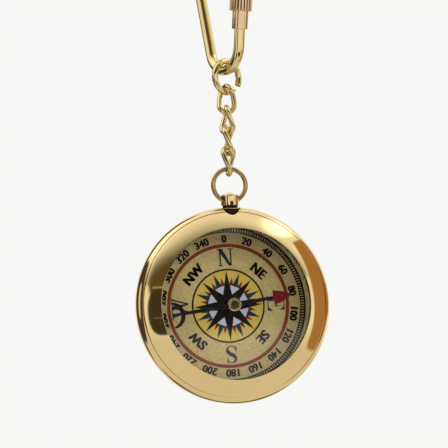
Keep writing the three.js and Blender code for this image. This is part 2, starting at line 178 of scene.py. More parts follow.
def wire_grid(centre, diameter, edge=0.12, around=32):
    """Circles square to a centre line that lies close to the XZ plane. The tangent is the
    difference of the neighbours. At both ends the radius shrinks to zero in four rings, over
    the length of the edge."""
    tangent = unit(np.gradient(centre, axis=0))
    side, up = (np.concatenate([np.repeat(way[:1], 4, 0), way[1:-1], np.repeat(way[-1:], 4, 0)])
                for way in square_to(tangent, [0.0, 1, 0]))
    back = np.array([0, 0, edge * 0.3, edge])
    inset = np.array([diameter / 2, edge, edge * 0.3, 0])
    first = centre[0] + back[:, None] * tangent[0]
    last = centre[-1] - back[::-1, None] * tangent[-1]
    radius = diameter / 2 - np.concatenate([inset, np.zeros(len(centre) - 2), inset[::-1]])
    return circles(np.vstack([first, centre[1:-1], last]), side, up, radius, around)


def rounded(corners, radii, steps=5):
    """A profile whose corners are cut back by a length and joined by a parabola between the
    two cuts: (1-t)^2 a + 2 t (1-t) corner + t^2 b."""
    corners = np.asarray(corners, dtype=float)
    made = [corners[:1]]
    t = np.linspace(0, 1, steps + 1)[:, None]
    for before, corner, after, cut in zip(corners, corners[1:], corners[2:], radii):
        a = corner + cut * unit(before - corner)
        b = corner + cut * unit(after - corner)
        curve = (1 - t) ** 2 * a + 2 * t * (1 - t) * corner + t**2 * b
        made.append(curve if cut else corner[None])
    made.append(corners[-1:])
    return np.concatenate(made)


def turned_grid(profile, around):
    """The profile's radius and height carried round Z: (r cos a, r sin a, h)."""
    angle = np.linspace(0, 2 * np.pi, around, endpoint=False)
    radius, height = np.asarray(profile).T
    return np.stack([
        radius[:, None] * np.cos(angle),
        radius[:, None] * np.sin(angle),
        np.repeat(height[:, None], around, axis=1),
    ], axis=-1)


def arc(centre, radius, start, stop, count):
    """Points on a circle, or an oval of two radii, between two angles in degrees."""
    angle = np.radians(np.linspace(start, stop, count))
    return centre + np.multiply(radius, np.stack([np.cos(angle), np.sin(angle)], axis=-1))


def turn_z(points, degrees):
    """Points turned about the Z axis."""
    c, s = math.cos(math.radians(degrees)), math.sin(math.radians(degrees))
    return points @ np.array([[c, s, 0], [-s, c, 0], [0, 0, 1]])


# %% [markdown]
# Every material is made of the same few nodes, so two small classes keep the calls short. A call
# adds a node, links or sets its inputs, and hands back the socket that the next node needs. All
# patterns read Object coordinates, which are in metres, so a noise scale is waves in a metre.

# %% Shader helpers
def rgb(red, green, blue):
    """A screen colour, 0 to 255, as the linear values that a shader takes."""
    share = np.array([red, green, blue]) / 255
    linear = np.where(share <= 0.04045, share / 12.92, ((share + 0.055) / 1.055) ** 2.4)
    return (*linear.tolist(), 1.0)


class Nodes:
    """The node tree of a material or a world, and short calls that add nodes and link them."""

    def __init__(self, owner):
        owner.use_nodes = True
        self.tree = owner.node_tree

    def put(self, socket, value):
        """Links a socket, or sets a plain number or colour."""
        if isinstance(value, bpy.types.NodeSocket):
            self.tree.links.new(value, socket)
        else:
            socket.default_value = value

    def add(self, kind, **inputs):
        """A new node of this kind, with its inputs linked or set by name."""
        node = self.tree.nodes.new("ShaderNode" + kind)
        for name, value in inputs.items():
            self.put(node.inputs[name], value)
        return node

    def ranged(self, value, low, high, to_low=0.0, to_high=1.0):
        """A value stretched from one range to another, and held at its ends."""
        node = self.add("MapRange", Value=value)
        for index, number in enumerate((low, high, to_low, to_high), start=1):
            node.inputs[index].default_value = number
        return node.outputs[0]

    def math(self, operation, a, b=0.0):
        """One operation on two values."""
        node = self.add("Math")
        node.operation = operation
        self.put(node.inputs[0], a)
        self.put(node.inputs[1], b)
        return node.outputs[0]

    def mixed(self, factor, a, b):
        """Colour a where the factor is 0 and colour b where it is 1. The Mix node keeps its
        colours in inputs 6 and 7, and gives the result as output 2."""
        node = self.add("Mix")
        node.data_type = "RGBA"
        self.put(node.inputs[0], factor)
        self.put(node.inputs[6], a)
        self.put(node.inputs[7], b)
        return node.outputs[2]

    def either(self, factor, a, b):
        """Shader a where the factor is 0 and shader b where it is 1."""
        node = self.add("MixShader")
        for socket, value in zip(node.inputs, (factor, a, b)):
            self.put(socket, value)
        return node.outputs[0]


class Finish(Nodes):
    """A material with its Principled shader and Object coordinates."""

    def __init__(self, name):
        self.material = bpy.data.materials.new(name)
        super().__init__(self.material)
        self.shader = self.tree.nodes["Principled BSDF"]
        self.place = self.add("TexCoord").outputs["Object"]

    def stretched(self, scale):
        """Object coordinates, scaled along each axis for a pattern."""
        return self.add("Mapping", Vector=self.place, Scale=scale).outputs[0]

    def own_axes(self, place, turn=(0, 0, 0)):
        """X, Y and Z of coordinates that start at a place and are turned to a piece's axes."""
        node = self.add("Mapping", Vector=self.place, Location=place, Rotation=turn)
        node.vector_type = "TEXTURE"
        return self.add("SeparateXYZ", Vector=node.outputs[0]).outputs

    def distance(self, a, b):
        """How far a point is from an axis: the square root of a squared plus b squared."""
        square = self.math("ADD", self.math("MULTIPLY", a, a), self.math("MULTIPLY", b, b))
        return self.math("SQRT", square)

    def noise(self, scale, detail, vector=None):
        """A noise over Object coordinates, or over coordinates of its own."""
        node = self.add("TexNoise", Vector=vector or self.place, Scale=scale, Detail=detail)
        return node.outputs["Fac"]

    def bump(self, height, depth):
        """A normal that makes a pattern look this deep, in metres."""
        return self.add("Bump", Height=height, Distance=depth, Strength=1.0).outputs[0]

    def show(self, surface):
        """Makes a shader the surface, in place of the Principled one."""
        self.put(self.tree.nodes["Material Output"].inputs["Surface"], surface)

    def grained(self, pattern, rough, depth, **sockets):
        """One pattern sets the roughness, between two values, and the bumps. The rest is set
        as it comes."""
        return self.set(Roughness=self.ranged(pattern, 0.3, 0.7, *rough),
                        Normal=self.bump(pattern, depth), **sockets)

    def set(self, **sockets):
        """Sets or links the Principled shader's own sockets; an underscore stands for a space."""
        for name, value in sockets.items():
            self.put(self.shader.inputs[name.replace("_", " ")], value)
        return self.material


print("shader helpers ready")

# %% [markdown]
# Polished brass is nearly all reflection: a metal with low roughness. Up close it isn't even.
# Polishing leaves fine lines, fingers leave faint clouds, and a few dark specks of tarnish sit
# in the surface. Three noises at three scales give those.

# %% Brass
# A dark brown for dirt and for painted shade in hollows and corners
GRIME_AND_SHADE = rgb(66, 46, 26)


def brass(name, colour, tarnish, shine, cloudy, specks=0.35, dirt_and_shade=None):
    """Metal whose colour goes to tarnish in clouds and specks, and whose roughness follows the
    clouds. Polishing lines come from a noise stretched across one direction. dirt_and_shade is a
    function that says where a dark brown is painted, from 0 to 1: dirt, and painted shade in
    hollows and corners."""
    finish = Finish(name)
    clouds = finish.noise(70.0, 4.0)
    dull = finish.ranged(clouds, 0.45, 0.85, 0.0, cloudy)
    speck = finish.ranged(finish.noise(1100.0, 2.0), 0.74, 0.82, 0.0, specks)
    polish = finish.noise(1.0, 3.0, finish.stretched((300, 300, 2600)))
    shade = finish.mixed(finish.math("MAXIMUM", dull, speck), rgb(*colour), rgb(*tarnish))
    if dirt_and_shade:
        shade = finish.mixed(dirt_and_shade(finish), shade, GRIME_AND_SHADE)
    return finish.set(
        Metallic=1.0,
        Base_Color=shade,
        Roughness=finish.ranged(clouds, 0.3, 0.75, *shine),
        Normal=finish.bump(polish, 0.0000006),
    )


def coat(piece, material):
    """Makes a material the only one of a piece."""
    piece.data.materials.clear()
    piece.data.materials.append(material)


def dress(piece, body, material, slot, *stands_for):
    """Gives a piece its material and its body, and hides the CAD nodes that it stands for. The slot
    is not used.
    """
    coat(piece, material)
    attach(piece, body)
    if stands_for:
        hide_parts(*stands_for)
    print(f"{piece.name}: {len(piece.data.polygons)} faces on {body}")


hook_brass = brass("hook_brass", (238, 216, 156), (160, 130, 70), (0.06, 0.11), 0.15, 0.15)
chain_brass = brass("chain_brass", (234, 213, 154), (160, 132, 74), (0.08, 0.13), 0.15, 0.1)
bow_brass = brass("bow_brass", (192, 164, 106), (120, 92, 46), (0.14, 0.2), 0.2, 0.15)

# %% [markdown]
# The hook is one length of round wire bent into a pear. Both arms are tangent to a small bend
# at the bottom, where the ring hangs, and to a large one at the top, so the two bends are
# circles in one wedge. The same sum as in the CAD model places them. The wire stops inside the
# screw barrel, below and above.

# %% Hook sizes
HOOK_LENGTH, HOOK_WIRE, HOOK_BEND = 44.7, 2.5, 5.25
SLEEVE_LEAN, SPINE_LEAN, HOOK_AZIMUTH = 7.5, 13.2, -63.5
half_wedge = math.radians((SLEEVE_LEAN + SPINE_LEAN) / 2)
wedge_turn = math.radians((SPINE_LEAN - SLEEVE_LEAN) / 2)
slope = math.cos(wedge_turn) / math.sin(half_wedge)
crown = (HOOK_LENGTH - HOOK_WIRE - HOOK_BEND + HOOK_BEND * slope) / (1 + slope)
bends_apart = (crown - HOOK_BEND) / math.sin(half_wedge)
crown_x = -bends_apart * math.sin(wedge_turn)
crown_above = HOOK_BEND + bends_apart * math.cos(wedge_turn)
hook_bottom = -(crown_above + math.sqrt((crown - HOOK_WIRE / 2) ** 2 - crown_x**2))
bend_z, crown_z = hook_bottom + HOOK_BEND, hook_bottom + crown_above

lean = math.radians(SLEEVE_LEAN)
arm_direction = np.array([math.sin(lean), 0, math.cos(lean)])
arm_start = np.array([HOOK_BEND * math.cos(lean), 0, bend_z - HOOK_BEND * math.sin(lean)])
BARREL_HEIGHT, COLLAR_LENGTH, GRIP_LENGTH, TRAVEL, ENGAGED = 9.95, 4.1, 9.0, 4.2, 1.6
barrel_start = (hook_bottom - HOOK_WIRE / 2 + BARREL_HEIGHT - arm_start[2]) / arm_direction[2]
barrel_end = barrel_start + COLLAR_LENGTH + GRIP_LENGTH
# The barrel holds both ends of the wire when it is up, and only the lower one when it is down
lower_end, upper_end = barrel_end - TRAVEL - 0.2, barrel_end - ENGAGED
print("hook bottom at", round(hook_bottom, 3), "mm, crown radius", round(crown, 3), "mm")


# %% Hook
def on_arm(distances):
    """Points along the straight arm, at distances from its tangent point."""
    return arm_start + np.asarray(distances)[:, None] * arm_direction


def upright(flat):
    """Points (x, z) stood up in the XZ plane."""
    return np.stack([flat[:, 0], np.zeros(len(flat)), flat[:, 1]], axis=-1)


# The wire goes up the lower arm's end, round the bottom bend, up the spine, round the crown and
# down the arm to its upper end
hook_line = np.concatenate([
    on_arm([lower_end, 4.0, 1.0]),
    upright(arc((0, bend_z), HOOK_BEND, -SLEEVE_LEAN, -180 + SPINE_LEAN, 60)),
    upright(arc((crown_x, crown_z), crown, 180 + SPINE_LEAN, -SLEEVE_LEAN, 90)),
    on_arm([barrel_end + 3.0, upper_end]),
])
hook = closed_surface("polished_hook", [
    turn_z(wire_grid(hook_line, HOOK_WIRE, around=40), HOOK_AZIMUTH)])
dress(hook, "hook", hook_brass, "hook_brass", "hook_wire")

# %% [markdown]
# The barrel closes the hook's gap. Its grip is straight-knurled: rolled ridges with a flat top
# and a groove between. The knurl is a wave in the radius round the axis, faded out over the
# chamfers, so one surface of angle and profile makes the grip, the collar and the bore.

# %% Screw barrel
BORE, COLLAR, GRIP, CHAMFER = 1.4, 1.85, 2.575, 0.3
RIDGES, RIDGE_DEPTH = 22, 0.28


def barrel_grid(around=RIDGES * 20):
    """Radius = profile radius - knurl share x groove depth at this angle. The groove is a
    smoothed trapezium wave with one period for each ridge."""
    top = COLLAR_LENGTH + GRIP_LENGTH
    profile = rounded(
        [(BORE, 3), (BORE, 0), (COLLAR, 0), (COLLAR, COLLAR_LENGTH), (GRIP, COLLAR_LENGTH),
         (GRIP, top), (BORE, top), (BORE, 3)],
        [0.08, 0.1, 0, CHAMFER, CHAMFER, 0.08])
    grid = turned_grid(profile, around)
    radius = profile[:, 0]
    inner = COLLAR + 0.1
    share = np.clip((radius - inner) / (GRIP - RIDGE_DEPTH - inner), 0, 1)
    phase = np.linspace(0, RIDGES, around, endpoint=False) % 1
    groove = np.interp(phase, [0.02, 0.12, 0.4, 0.5, 0.64, 0.88, 1.02],
                       [0.06, 0, 0, 0.06, 1, 1, 0.06])
    new_radius = radius[:, None] - share[:, None] * RIDGE_DEPTH * groove
    grid[..., :2] *= (new_radius / radius[:, None])[..., None]
    return grid


def tilt_y(points, angle):
    """Points turned about the Y axis, from +Z towards +X."""
    c, s = math.cos(angle), math.sin(angle)
    return points @ np.array([[c, 0, -s], [0, 1, 0], [s, 0, c]])


barrel = closed_surface("knurled_barrel", [turn_z(
    tilt_y(barrel_grid(), lean) + on_arm([barrel_start])[0], HOOK_AZIMUTH)], sharp=40)


def groove_dirt(finish):
    """1 in the knurl's grooves and 0 on its ridges: the distance from the barrel's own axis, in
    coordinates turned to that axis, counted only above the collar. The grooves are painted dark,
    as dirt and as painted shade."""
    axes = finish.own_axes(turn_z(on_arm([barrel_start]), HOOK_AZIMUTH)[0] * MM,
                           (0, lean, math.radians(HOOK_AZIMUTH)))
    deep = finish.ranged(finish.distance(axes["X"], axes["Y"]), 0.00232, 0.0025, 1.0, 0.0)
    above = finish.ranged(axes["Z"], 0.0043, 0.0045, 0.0, 0.8)
    return finish.math("MULTIPLY", deep, above)


barrel_brass = brass("barrel_brass", (236, 208, 162), (170, 126, 80), (0.12, 0.22), 0.3,
                     dirt_and_shade=groove_dirt)
dress(barrel, "barrel", barrel_brass, "barrel_brass", "lock_barrel")

# %% [markdown]
# The jump ring is wire coiled one turn and cut, so its two ends stand apart and a little aside
# of each other. The links are curb links: an oval of wire whose plane turns as it goes down,
# which is done on the real chain by twisting it. Each link is also turned on the wire above it,
# by an angle of its own, as a loose chain hangs. Its wire is drawn a little thinner than the CAD
# model's, because full round wires would touch at the joints' limits where faceted ones don't.
# The bow is a plain ring whose ends meet. All radii and lengths are to the middle of the wire.

# %% Ring and chain sizes
CLEARANCE = 0.1
RING_RADIUS, RING_WIRE, RING_AZIMUTH = (8.7 - 1.45) / 2, 1.45, 33.0
RING_START, RING_END, RING_PITCH = -31, 311, 0.7
LINK_LOOP, LINK_BEND, LINK_WIRE, LINK_TWIST = 7.45 - 1.3, (4.7 - 1.3) / 2, 1.3, 78.0
LINK_TURNS = (14, 30, 17, 7)
LINK_DRAWN = LINK_WIRE - 0.12
BOW_RADIUS, BOW_WIRE = (8.6 - 1.05) / 2, 1.05
BOW_START, BOW_END = 62.3, 421.7


def hangs_from(wire_z, upper, own):
    """The height of the top wire of a piece that hangs inside the piece above it."""
    return wire_z + upper / 2 + own / 2 + CLEARANCE


ring_z = hangs_from(hook_bottom, HOOK_WIRE, RING_WIRE) - RING_RADIUS
print("jump ring's middle at", round(ring_z, 3), "mm")

# %% Jump ring
ring_line = upright(arc((0, ring_z), RING_RADIUS, RING_START, RING_END, 120))
ring_line[:, 1] = RING_PITCH * (np.linspace(RING_START, RING_END, 120) - 270) / 360
ring = closed_surface("coiled_jump_ring", [
    turn_z(wire_grid(ring_line, RING_WIRE, 0.1), RING_AZIMUTH)])
dress(ring, "jump_ring", chain_brass, "chain_brass", "jump_ring")


# %% Twisted links
def link_grid(count=96, around=24):
    """Circles along a loop of two half circles and two straight sides, by its own length. Each
    point first turns about Z by the twist times its height over the loop's length."""
    side = LINK_LOOP - 2 * LINK_BEND
    half = math.pi * LINK_BEND + side
    along = np.linspace(0, 2 * half, count, endpoint=False)
    first = along % half
    angle = np.minimum(first, math.pi * LINK_BEND) / LINK_BEND
    x = LINK_BEND * np.cos(angle)
    z = side / 2 + LINK_BEND * np.sin(angle) - np.maximum(first - math.pi * LINK_BEND, 0)
    sign = np.where(along < half, 1, -1)
    x, z = x * sign, z * sign
    turn = -math.radians(LINK_TWIST) * z / LINK_LOOP
    line = np.stack([x * np.cos(turn), x * np.sin(turn), z], axis=-1)
    side = np.stack([-np.sin(turn), np.cos(turn), np.zeros(count)], axis=-1)
    tangent = unit(np.roll(line, -1, axis=0) - np.roll(line, 1, axis=0))
    return circles(line, *square_to(tangent, side), np.full(count, LINK_DRAWN / 2), around)


wire_z, azimuth, above = ring_z - RING_RADIUS, RING_AZIMUTH, RING_WIRE
for number, turn in enumerate(LINK_TURNS, start=1):
    top_azimuth = azimuth + 90 - turn
    middle = hangs_from(wire_z, above, LINK_WIRE) - LINK_LOOP / 2
    placed = turn_z(link_grid(), top_azimuth + LINK_TWIST / 2) + [0, 0, middle]
    shape = shape_of(placed, wrap_rows=True, wrap_columns=True)
    link = close_up(add_mesh(f"curb_link_{number}", *shape))
    dress(link, f"link_{number}", chain_brass, "chain_brass", f"chain_link_{number}")
    wire_z, azimuth, above = middle - LINK_LOOP / 2, top_azimuth + LINK_TWIST - 180, LINK_WIRE

# %% Bow
bow_z = hangs_from(wire_z, LINK_WIRE, BOW_WIRE) - BOW_RADIUS
bow_line = upright(arc((0, bow_z), BOW_RADIUS, BOW_START, BOW_END, 140))
bow = closed_surface("bow_wire", [wire_grid(bow_line, BOW_WIRE, 0.06, 24)])
dress(bow, "bow", bow_brass, "chain_brass", "bow_ring")

# %% [markdown]
# The case and all that is in it are turned about the compass axis, which is level and runs
# towards the viewer. Radii are from that axis and depths from the dial's face. The rim is a
# small arc off the flank and then the long flat arc of the bezel, tangent to it.

# %% Case sizes
PENDANT_DEPTH = 4.76
HEAD_RADIUS, HOLE_HEIGHT = 2.035, 24.02
rise = BOW_RADIUS - math.sqrt(BOW_RADIUS**2 - HEAD_RADIUS**2)
hole_radius = (rise / 2 + CLEARANCE
               + BOW_WIRE / 2 / math.cos(math.asin(HEAD_RADIUS / BOW_RADIUS)))
case_z = bow_z - BOW_RADIUS + rise / 2 - HOLE_HEIGHT
CASE_RADIUS, SHOULDER, FLANK_TOP, DOME = 22.5, 2.5, 4.38, 30.0
WINDOW, WELL = 17.2, 19.45
BACK_WIDE, BACK_DEEP, BACK_TOP = 5, 5.4, 3.4
FLOOR, SEAT, GLASS_BED, LIP_UNDER, LIP_TOP = -0.7, 6, 6.65, 7.65, 8.3
BODY_WALL, BEZEL_WALL, LIP_ROUND = 21.3, 21.2, 0.25
SWEEP = 57
dome_x, dome_depth = arc(
    (CASE_RADIUS - SHOULDER, FLANK_TOP), SHOULDER - DOME, SWEEP, SWEEP, 1)[0]
print("case axis at z", round(case_z, 3), "mm, hole radius", round(hole_radius, 3), "mm")


def on_dome(radius):
    """Radius and depth on the bezel's arc."""
    radius = np.asarray(radius, dtype=float)
    return np.stack([radius, dome_depth + np.sqrt(DOME**2 - (radius - dome_x) ** 2)], axis=-1)


def in_case(points):
    """From turned coordinates, axis up, to the case: depth becomes distance towards -Y."""
    x, y, depth = np.moveaxis(points, -1, 0)
    return np.stack([x, PENDANT_DEPTH - depth, y + case_z], axis=-1)


def turned_in_case(name, profile, around=256):
    """A piece from a profile of radius and depth, turned about the compass axis."""
    return closed_surface(name, [in_case(turned_grid(profile, around))])


# %% Pendant post
POST = [(0, 19.7), (1, 19.7), (1, 20.5), (2.15, 20.5), (2.15, 22.1), (1.75, 22.1), (1.75, 22.8),
        (HEAD_RADIUS, 22.8), (HEAD_RADIUS, 25.2), (1.0, 25.56), (0.4, 25.85), (0, 25.85)]


def cut(piece, cutter):
    """Takes the cutter out of the piece with an exact Boolean, and deletes the cutter."""
    change = piece.modifiers.new("cut", "BOOLEAN")
    change.operation, change.solver, change.object = "DIFFERENCE", "EXACT", cutter
    result = bpy.data.meshes.new_from_object(
        piece.evaluated_get(bpy.context.evaluated_depsgraph_get()))
    piece.modifiers.clear()
    piece.data = result
    bpy.data.objects.remove(cutter)
    close_up(piece)


def rod(radius, low, high):
    """A plain closed cylinder along Z, as a turned grid."""
    return turned_grid([(0, low), (radius, low), (radius, high), (0, high)], 96)


post = closed_surface("turned_pendant", [
    turned_grid(rounded(POST, [0, 0, 0, 0.12, 0.3, 0.05, 0.05, 0.3, 0.35, 0.3, 0.2]), 96)
    + [0, 0, case_z]])
# The bow's wire runs along X where it goes through the head, so the rod is laid along X
hole = rod(hole_radius, -4, 4)[..., [2, 1, 0]] * [1, 1, -1] + [0, 0, case_z + HOLE_HEIGHT]
cut(post, closed_surface("hole", [hole]))

# Under the head the metal is painted a dark reddish brown: patina, and painted shade in the neck
pendant = Finish("pendant_brass")
wander = pendant.noise(500.0, 3.0)
edge = pendant.math("ADD", pendant.own_axes((0, 0, case_z * MM))["Z"],
                    pendant.ranged(wander, 0.3, 0.7, -0.00008, 0.00008))
browned_and_shaded = pendant.ranged(edge, 0.02275, 0.0229, 1.0, 0.0)
# A thin lighter band along the collar's rounded top is a painted highlight
from_highlight_line = pendant.math("ABSOLUTE", pendant.math("SUBTRACT", edge, 0.02205))
polished = pendant.mixed(pendant.ranged(wander, 0.5, 0.8, 0.0, 0.4), rgb(246, 216, 164),
                         rgb(190, 140, 84))
dress(post, "case", pendant.grained(
    wander, (0.06, 0.14), 0.000001,
    Metallic=1.0,
    Base_Color=pendant.mixed(browned_and_shaded, polished, pendant.mixed(
        pendant.ranged(from_highlight_line, 0.00008, 0.00016, 1.0, 0.0),
        rgb(46, 28, 24), rgb(196, 152, 104))),
), "pendant_brass", "pendant_post")

# %% Case body and bezel
back_curve = arc((CASE_RADIUS - BACK_WIDE, BACK_TOP), (BACK_WIDE, BACK_DEEP), -90, 0, 24)
shoulder_curve = arc((CASE_RADIUS - SHOULDER, FLANK_TOP), SHOULDER, 0, SWEEP, 16)
body_profile = np.concatenate([
    [(0, BACK_TOP - BACK_DEEP)], back_curve, shoulder_curve, on_dome([BODY_WALL + 0.04]),
    [(BODY_WALL, on_dome(BODY_WALL)[1] - 0.05), (BODY_WALL, SEAT), (WELL, SEAT), (WELL, FLOOR),
     (0, FLOOR)]])
body = turned_in_case("polished_case", body_profile)

bezel_profile = np.concatenate([
    [(BEZEL_WALL, SEAT + CLEARANCE), (BEZEL_WALL, on_dome(BEZEL_WALL)[1] - 0.05)],
    on_dome(np.linspace(BEZEL_WALL - 0.03, WINDOW + LIP_ROUND, 24)),
    rounded([on_dome(WINDOW + LIP_ROUND), on_dome(WINDOW), (WINDOW, LIP_TOP)], [0.2], 8)[1:],
    [(WINDOW, LIP_UNDER), (18.8, LIP_UNDER), (18.8, GLASS_BED), (WELL, GLASS_BED),
     (WELL, SEAT + CLEARANCE), (BEZEL_WALL, SEAT + CLEARANCE)]])
bezel = turned_in_case("polished_bezel", bezel_profile)


def lip_grime(finish):
    """1 on the bezel's inner wall next to the glass, by the distance from the compass axis: painted
    shade for the dark corner under the lip."""
    axes = finish.own_axes((0, 0, case_z * MM))
    return finish.ranged(finish.distance(axes["X"], axes["Z"]),
                         (WINDOW + 0.04) * MM, (WINDOW + 0.1) * MM, 1.0, 0.0)


CASE_METAL = (246, 218, 158), (206, 168, 106), (0.03, 0.07), 0.15, 0.3
case_brass = brass("case_brass", *CASE_METAL)
bezel_brass = brass("bezel_brass", *CASE_METAL, dirt_and_shade=lip_grime)


def drill(piece, radius, low, high):
    """Cuts a round hole along Z, between two heights over the compass axis."""
    cut(piece, closed_surface("drill", [rod(radius, low, high) + [0, 0, case_z]]))


for piece in (bezel, body):
    drill(piece, 2.3, 20.35, 24)
drill(body, 1.15, 19.55, 22)
dress(body, "case", case_brass, "case_brass", "case_body")
dress(bezel, "case", bezel_brass, "case_brass", "bezel")

# %% [markdown]
# The dial is a printed plate. Ink is far too thin to see from the side, so each colour is a set
# of flat shapes that lie a hundredth of a millimetre above the plate and above each other. Rings,
# rays and track bars are grids in polar form. Bearings run clockwise from north, as on the dial.
# The whole print sits two degrees anticlockwise in the case, and a quarter of a millimetre off
# its axis.

# %% Flat shapes in polar form
PRINT_TURN = 2.0
PRINT_SHIFT = (-0.24, 0.14)


def polar(radius, bearing):
    """Point (x, z) at a radius and a bearing in degrees clockwise from north."""
    bearing = np.radians(bearing)
    return np.stack([radius * np.sin(bearing), radius * np.cos(bearing)], axis=-1)


def band(inner, outer, count=240):
    """A ring of ink: radius runs one way and bearing the other."""
    bearing = np.linspace(0, 360, count + 1)[None, :]
    return shape_of(polar(np.array([[inner], [outer]]), bearing))


def four_cornered(corners):
    """Many separate quads (n, 4, 2) as one flat shape."""
    corners = np.asarray(corners, dtype=float)
    return corners.reshape(-1, 2), np.arange(len(corners) * 4).reshape(-1, 4)


def rays(count, first, base, shoulder, half_width, tip):
    """Pointed rays: each is a kite from its base radius, through two shoulders at a radius and
    half a width to each side, to its tip."""
    bearing = first + np.arange(count) * 360 / count
    spread = np.degrees(np.arctan2(half_width, shoulder))
    reach = math.hypot(half_width, shoulder)
    return four_cornered(np.stack([
        polar(base, bearing), polar(reach, bearing + spread), polar(tip, bearing),
        polar(reach, bearing - spread)], axis=1))


def bars(count, inner, outer, share):
    """Radial bars of ink, each a share of its pitch wide."""
    bearing = np.arange(count) * 360 / count
    half = 180 * share / count
    return four_cornered(np.stack([
        polar(inner, bearing - half), polar(inner, bearing + half),
        polar(outer, bearing + half), polar(outer, bearing - half)], axis=1))


# %% [markdown]
# The plain bold numbers and the half-wind letters come from Blender's built-in font, thickened
# a little. The four main letters are an old serif style with thick and hair-thin strokes, which
# that font lacks, so each is drawn from strips: a centre line and a width along it.

# %% Letters
NARROWED = 0.92


def bold_text(text, height, spread):
    """The built-in font's outline as a flat shape, scaled to a height and centred. It is laid
    three times, side by side and a spread wide in all, so that the strokes thicken."""
    data = bpy.data.curves.new("letters", "FONT")
    data.body, data.offset, data.space_character = text, 0.02, 1.06
    source = new_object("letters", data)
    mesh = bpy.data.meshes.new_from_object(
        source.evaluated_get(bpy.context.evaluated_depsgraph_get()))
    points = np.array([vertex.co[:2] for vertex in mesh.vertices])
    faces = [list(polygon.vertices) for polygon in mesh.polygons]
    bpy.data.objects.remove(source)
    low, high = points.min(axis=0), points.max(axis=0)
    points = (points - (low + high) / 2) * height / (high[1] - low[1]) * [NARROWED, 1]
    return joined([(points + [shift * spread, 0], faces) for shift in (-0.5, 0, 0.5)])


def strip(line, widths):
    """A flat strip: half its width to each side of a centre line."""
    line = np.asarray(line, dtype=float)
    along = unit(np.gradient(line, axis=0))
    across = np.stack([-along[:, 1], along[:, 0]], axis=-1)
    half = np.broadcast_to(widths, len(line))[:, None] / 2
    return shape_of(np.stack([line - half * across, line + half * across], axis=1))


def smooth(points, widths, per=8):
    """A Catmull-Rom curve through the points, with the widths carried along in the same way."""
    p = np.column_stack([points, widths])
    p = np.vstack([2 * p[0] - p[1], p, 2 * p[-1] - p[-2]])
    t = np.linspace(0, 1, per, endpoint=False)[None, :, None]
    a, b, c, d = (p[i:len(p) - 3 + i, None] for i in range(4))
    curve = 0.5 * (2 * b + (c - a) * t + (2 * a - 5 * b + 4 * c - d) * t**2
                   + (3 * b - a - 3 * c + d) * t**3)
    curve = np.vstack([curve.reshape(-1, 3), p[-2]])
    return curve[:, :2], curve[:, 2]


def serif(x_low, x_high, y):
    """A hair-thin level stroke."""
    return strip([(x_low, y), (x_high, y)], 0.06)


def thin(*ends):
    """A thin straight stroke."""
    return strip(ends, 0.085)


def thick(*corners):
    """A thick stroke, by its four corners."""
    return four_cornered([corners])


TOP, FOOT = 0.478, -0.478
SERIF_LETTERS = {
    "N": [thin((-0.3, -0.5), (-0.3, 0.5)), thin((0.33, -0.5), (0.33, 0.5)),
          thick((-0.43, 0.5), (0.19, -0.5), (0.36, -0.5), (-0.16, 0.5)),
          serif(-0.45, -0.15, FOOT), serif(-0.48, -0.2, TOP), serif(0.17, 0.49, TOP)],
    "E": [thick((-0.36, -0.5), (-0.14, -0.5), (-0.14, 0.5), (-0.36, 0.5)),
          serif(-0.47, 0.38, TOP), serif(-0.47, 0.4, FOOT), serif(-0.14, 0.16, 0.02),
          strip([(0.16, -0.12), (0.16, 0.16)], 0.05),
          thick((0.2, 0.46), (0.4, 0.2), (0.4, 0.5), (0.2, 0.5)),
          thick((0.2, -0.46), (0.2, -0.5), (0.42, -0.5), (0.44, -0.18))],
    "W": [thick((-0.56, 0.5), (-0.26, -0.5), (-0.2, -0.5), (-0.3, 0.5)),
          thin((-0.23, -0.48), (0.0, 0.3)),
          thick((-0.1, 0.5), (0.2, -0.5), (0.26, -0.5), (0.16, 0.5)),
          thin((0.23, -0.48), (0.52, 0.5)),
          serif(-0.66, -0.22, TOP), serif(-0.16, 0.24, TOP), serif(0.38, 0.64, TOP)],
    "S": [strip(*smooth(
        [(0.24, 0.24), (0.19, 0.4), (0.02, 0.475), (-0.18, 0.41), (-0.24, 0.26), (-0.15, 0.1),
         (0.04, -0.02), (0.2, -0.15), (0.23, -0.3), (0.15, -0.43), (-0.03, -0.475),
         (-0.2, -0.41), (-0.27, -0.22)],
        [0.05, 0.06, 0.05, 0.1, 0.16, 0.21, 0.22, 0.2, 0.14, 0.08, 0.05, 0.06, 0.05])),
        strip([(0.25, 0.16), (0.25, 0.5)], 0.045), strip([(-0.29, -0.5), (-0.29, -0.14)], 0.045)],
}


def serif_letter(letter, height):
    """One of the main letters, scaled to a height."""
    points, faces = joined(SERIF_LETTERS[letter])
    return points * height, faces


def at_bearing(shape, radius, bearing):
    """A flat shape moved out to a bearing, with its top outwards."""
    points, faces = shape
    right, out = polar(1.0, bearing + 90), polar(1.0, bearing)
    return points[:, :1] * right + (points[:, 1:] + radius) * out, faces


# %% Print the dial
def printed(name, shapes, ink_name, colour, worn, lift):
    """Flat shapes turned with the print and laid on the dial's face, at a lift in mm. The ink is
    satin: a fine grain moves its colour towards a worn one, and roughens it."""
    points, faces = joined(shapes)
    turned = turn_z(np.column_stack([points, np.full(len(points), lift)]), PRINT_TURN)
    ink = Finish(ink_name)
    grain = ink.noise(2600.0, 3.0)
    ink.grained(
        grain, (0.45, 0.65), 0.000002,
        Base_Color=ink.mixed(
            ink.ranged(grain, 0.45, 0.8, 0.0, 0.6), rgb(*colour), rgb(*worn)),
        Specular_IOR_Level=0.15)
    dress(add_mesh(name, in_case(turned + [*PRINT_SHIFT, 0]), faces), "case", ink.material,
          "dial_print")


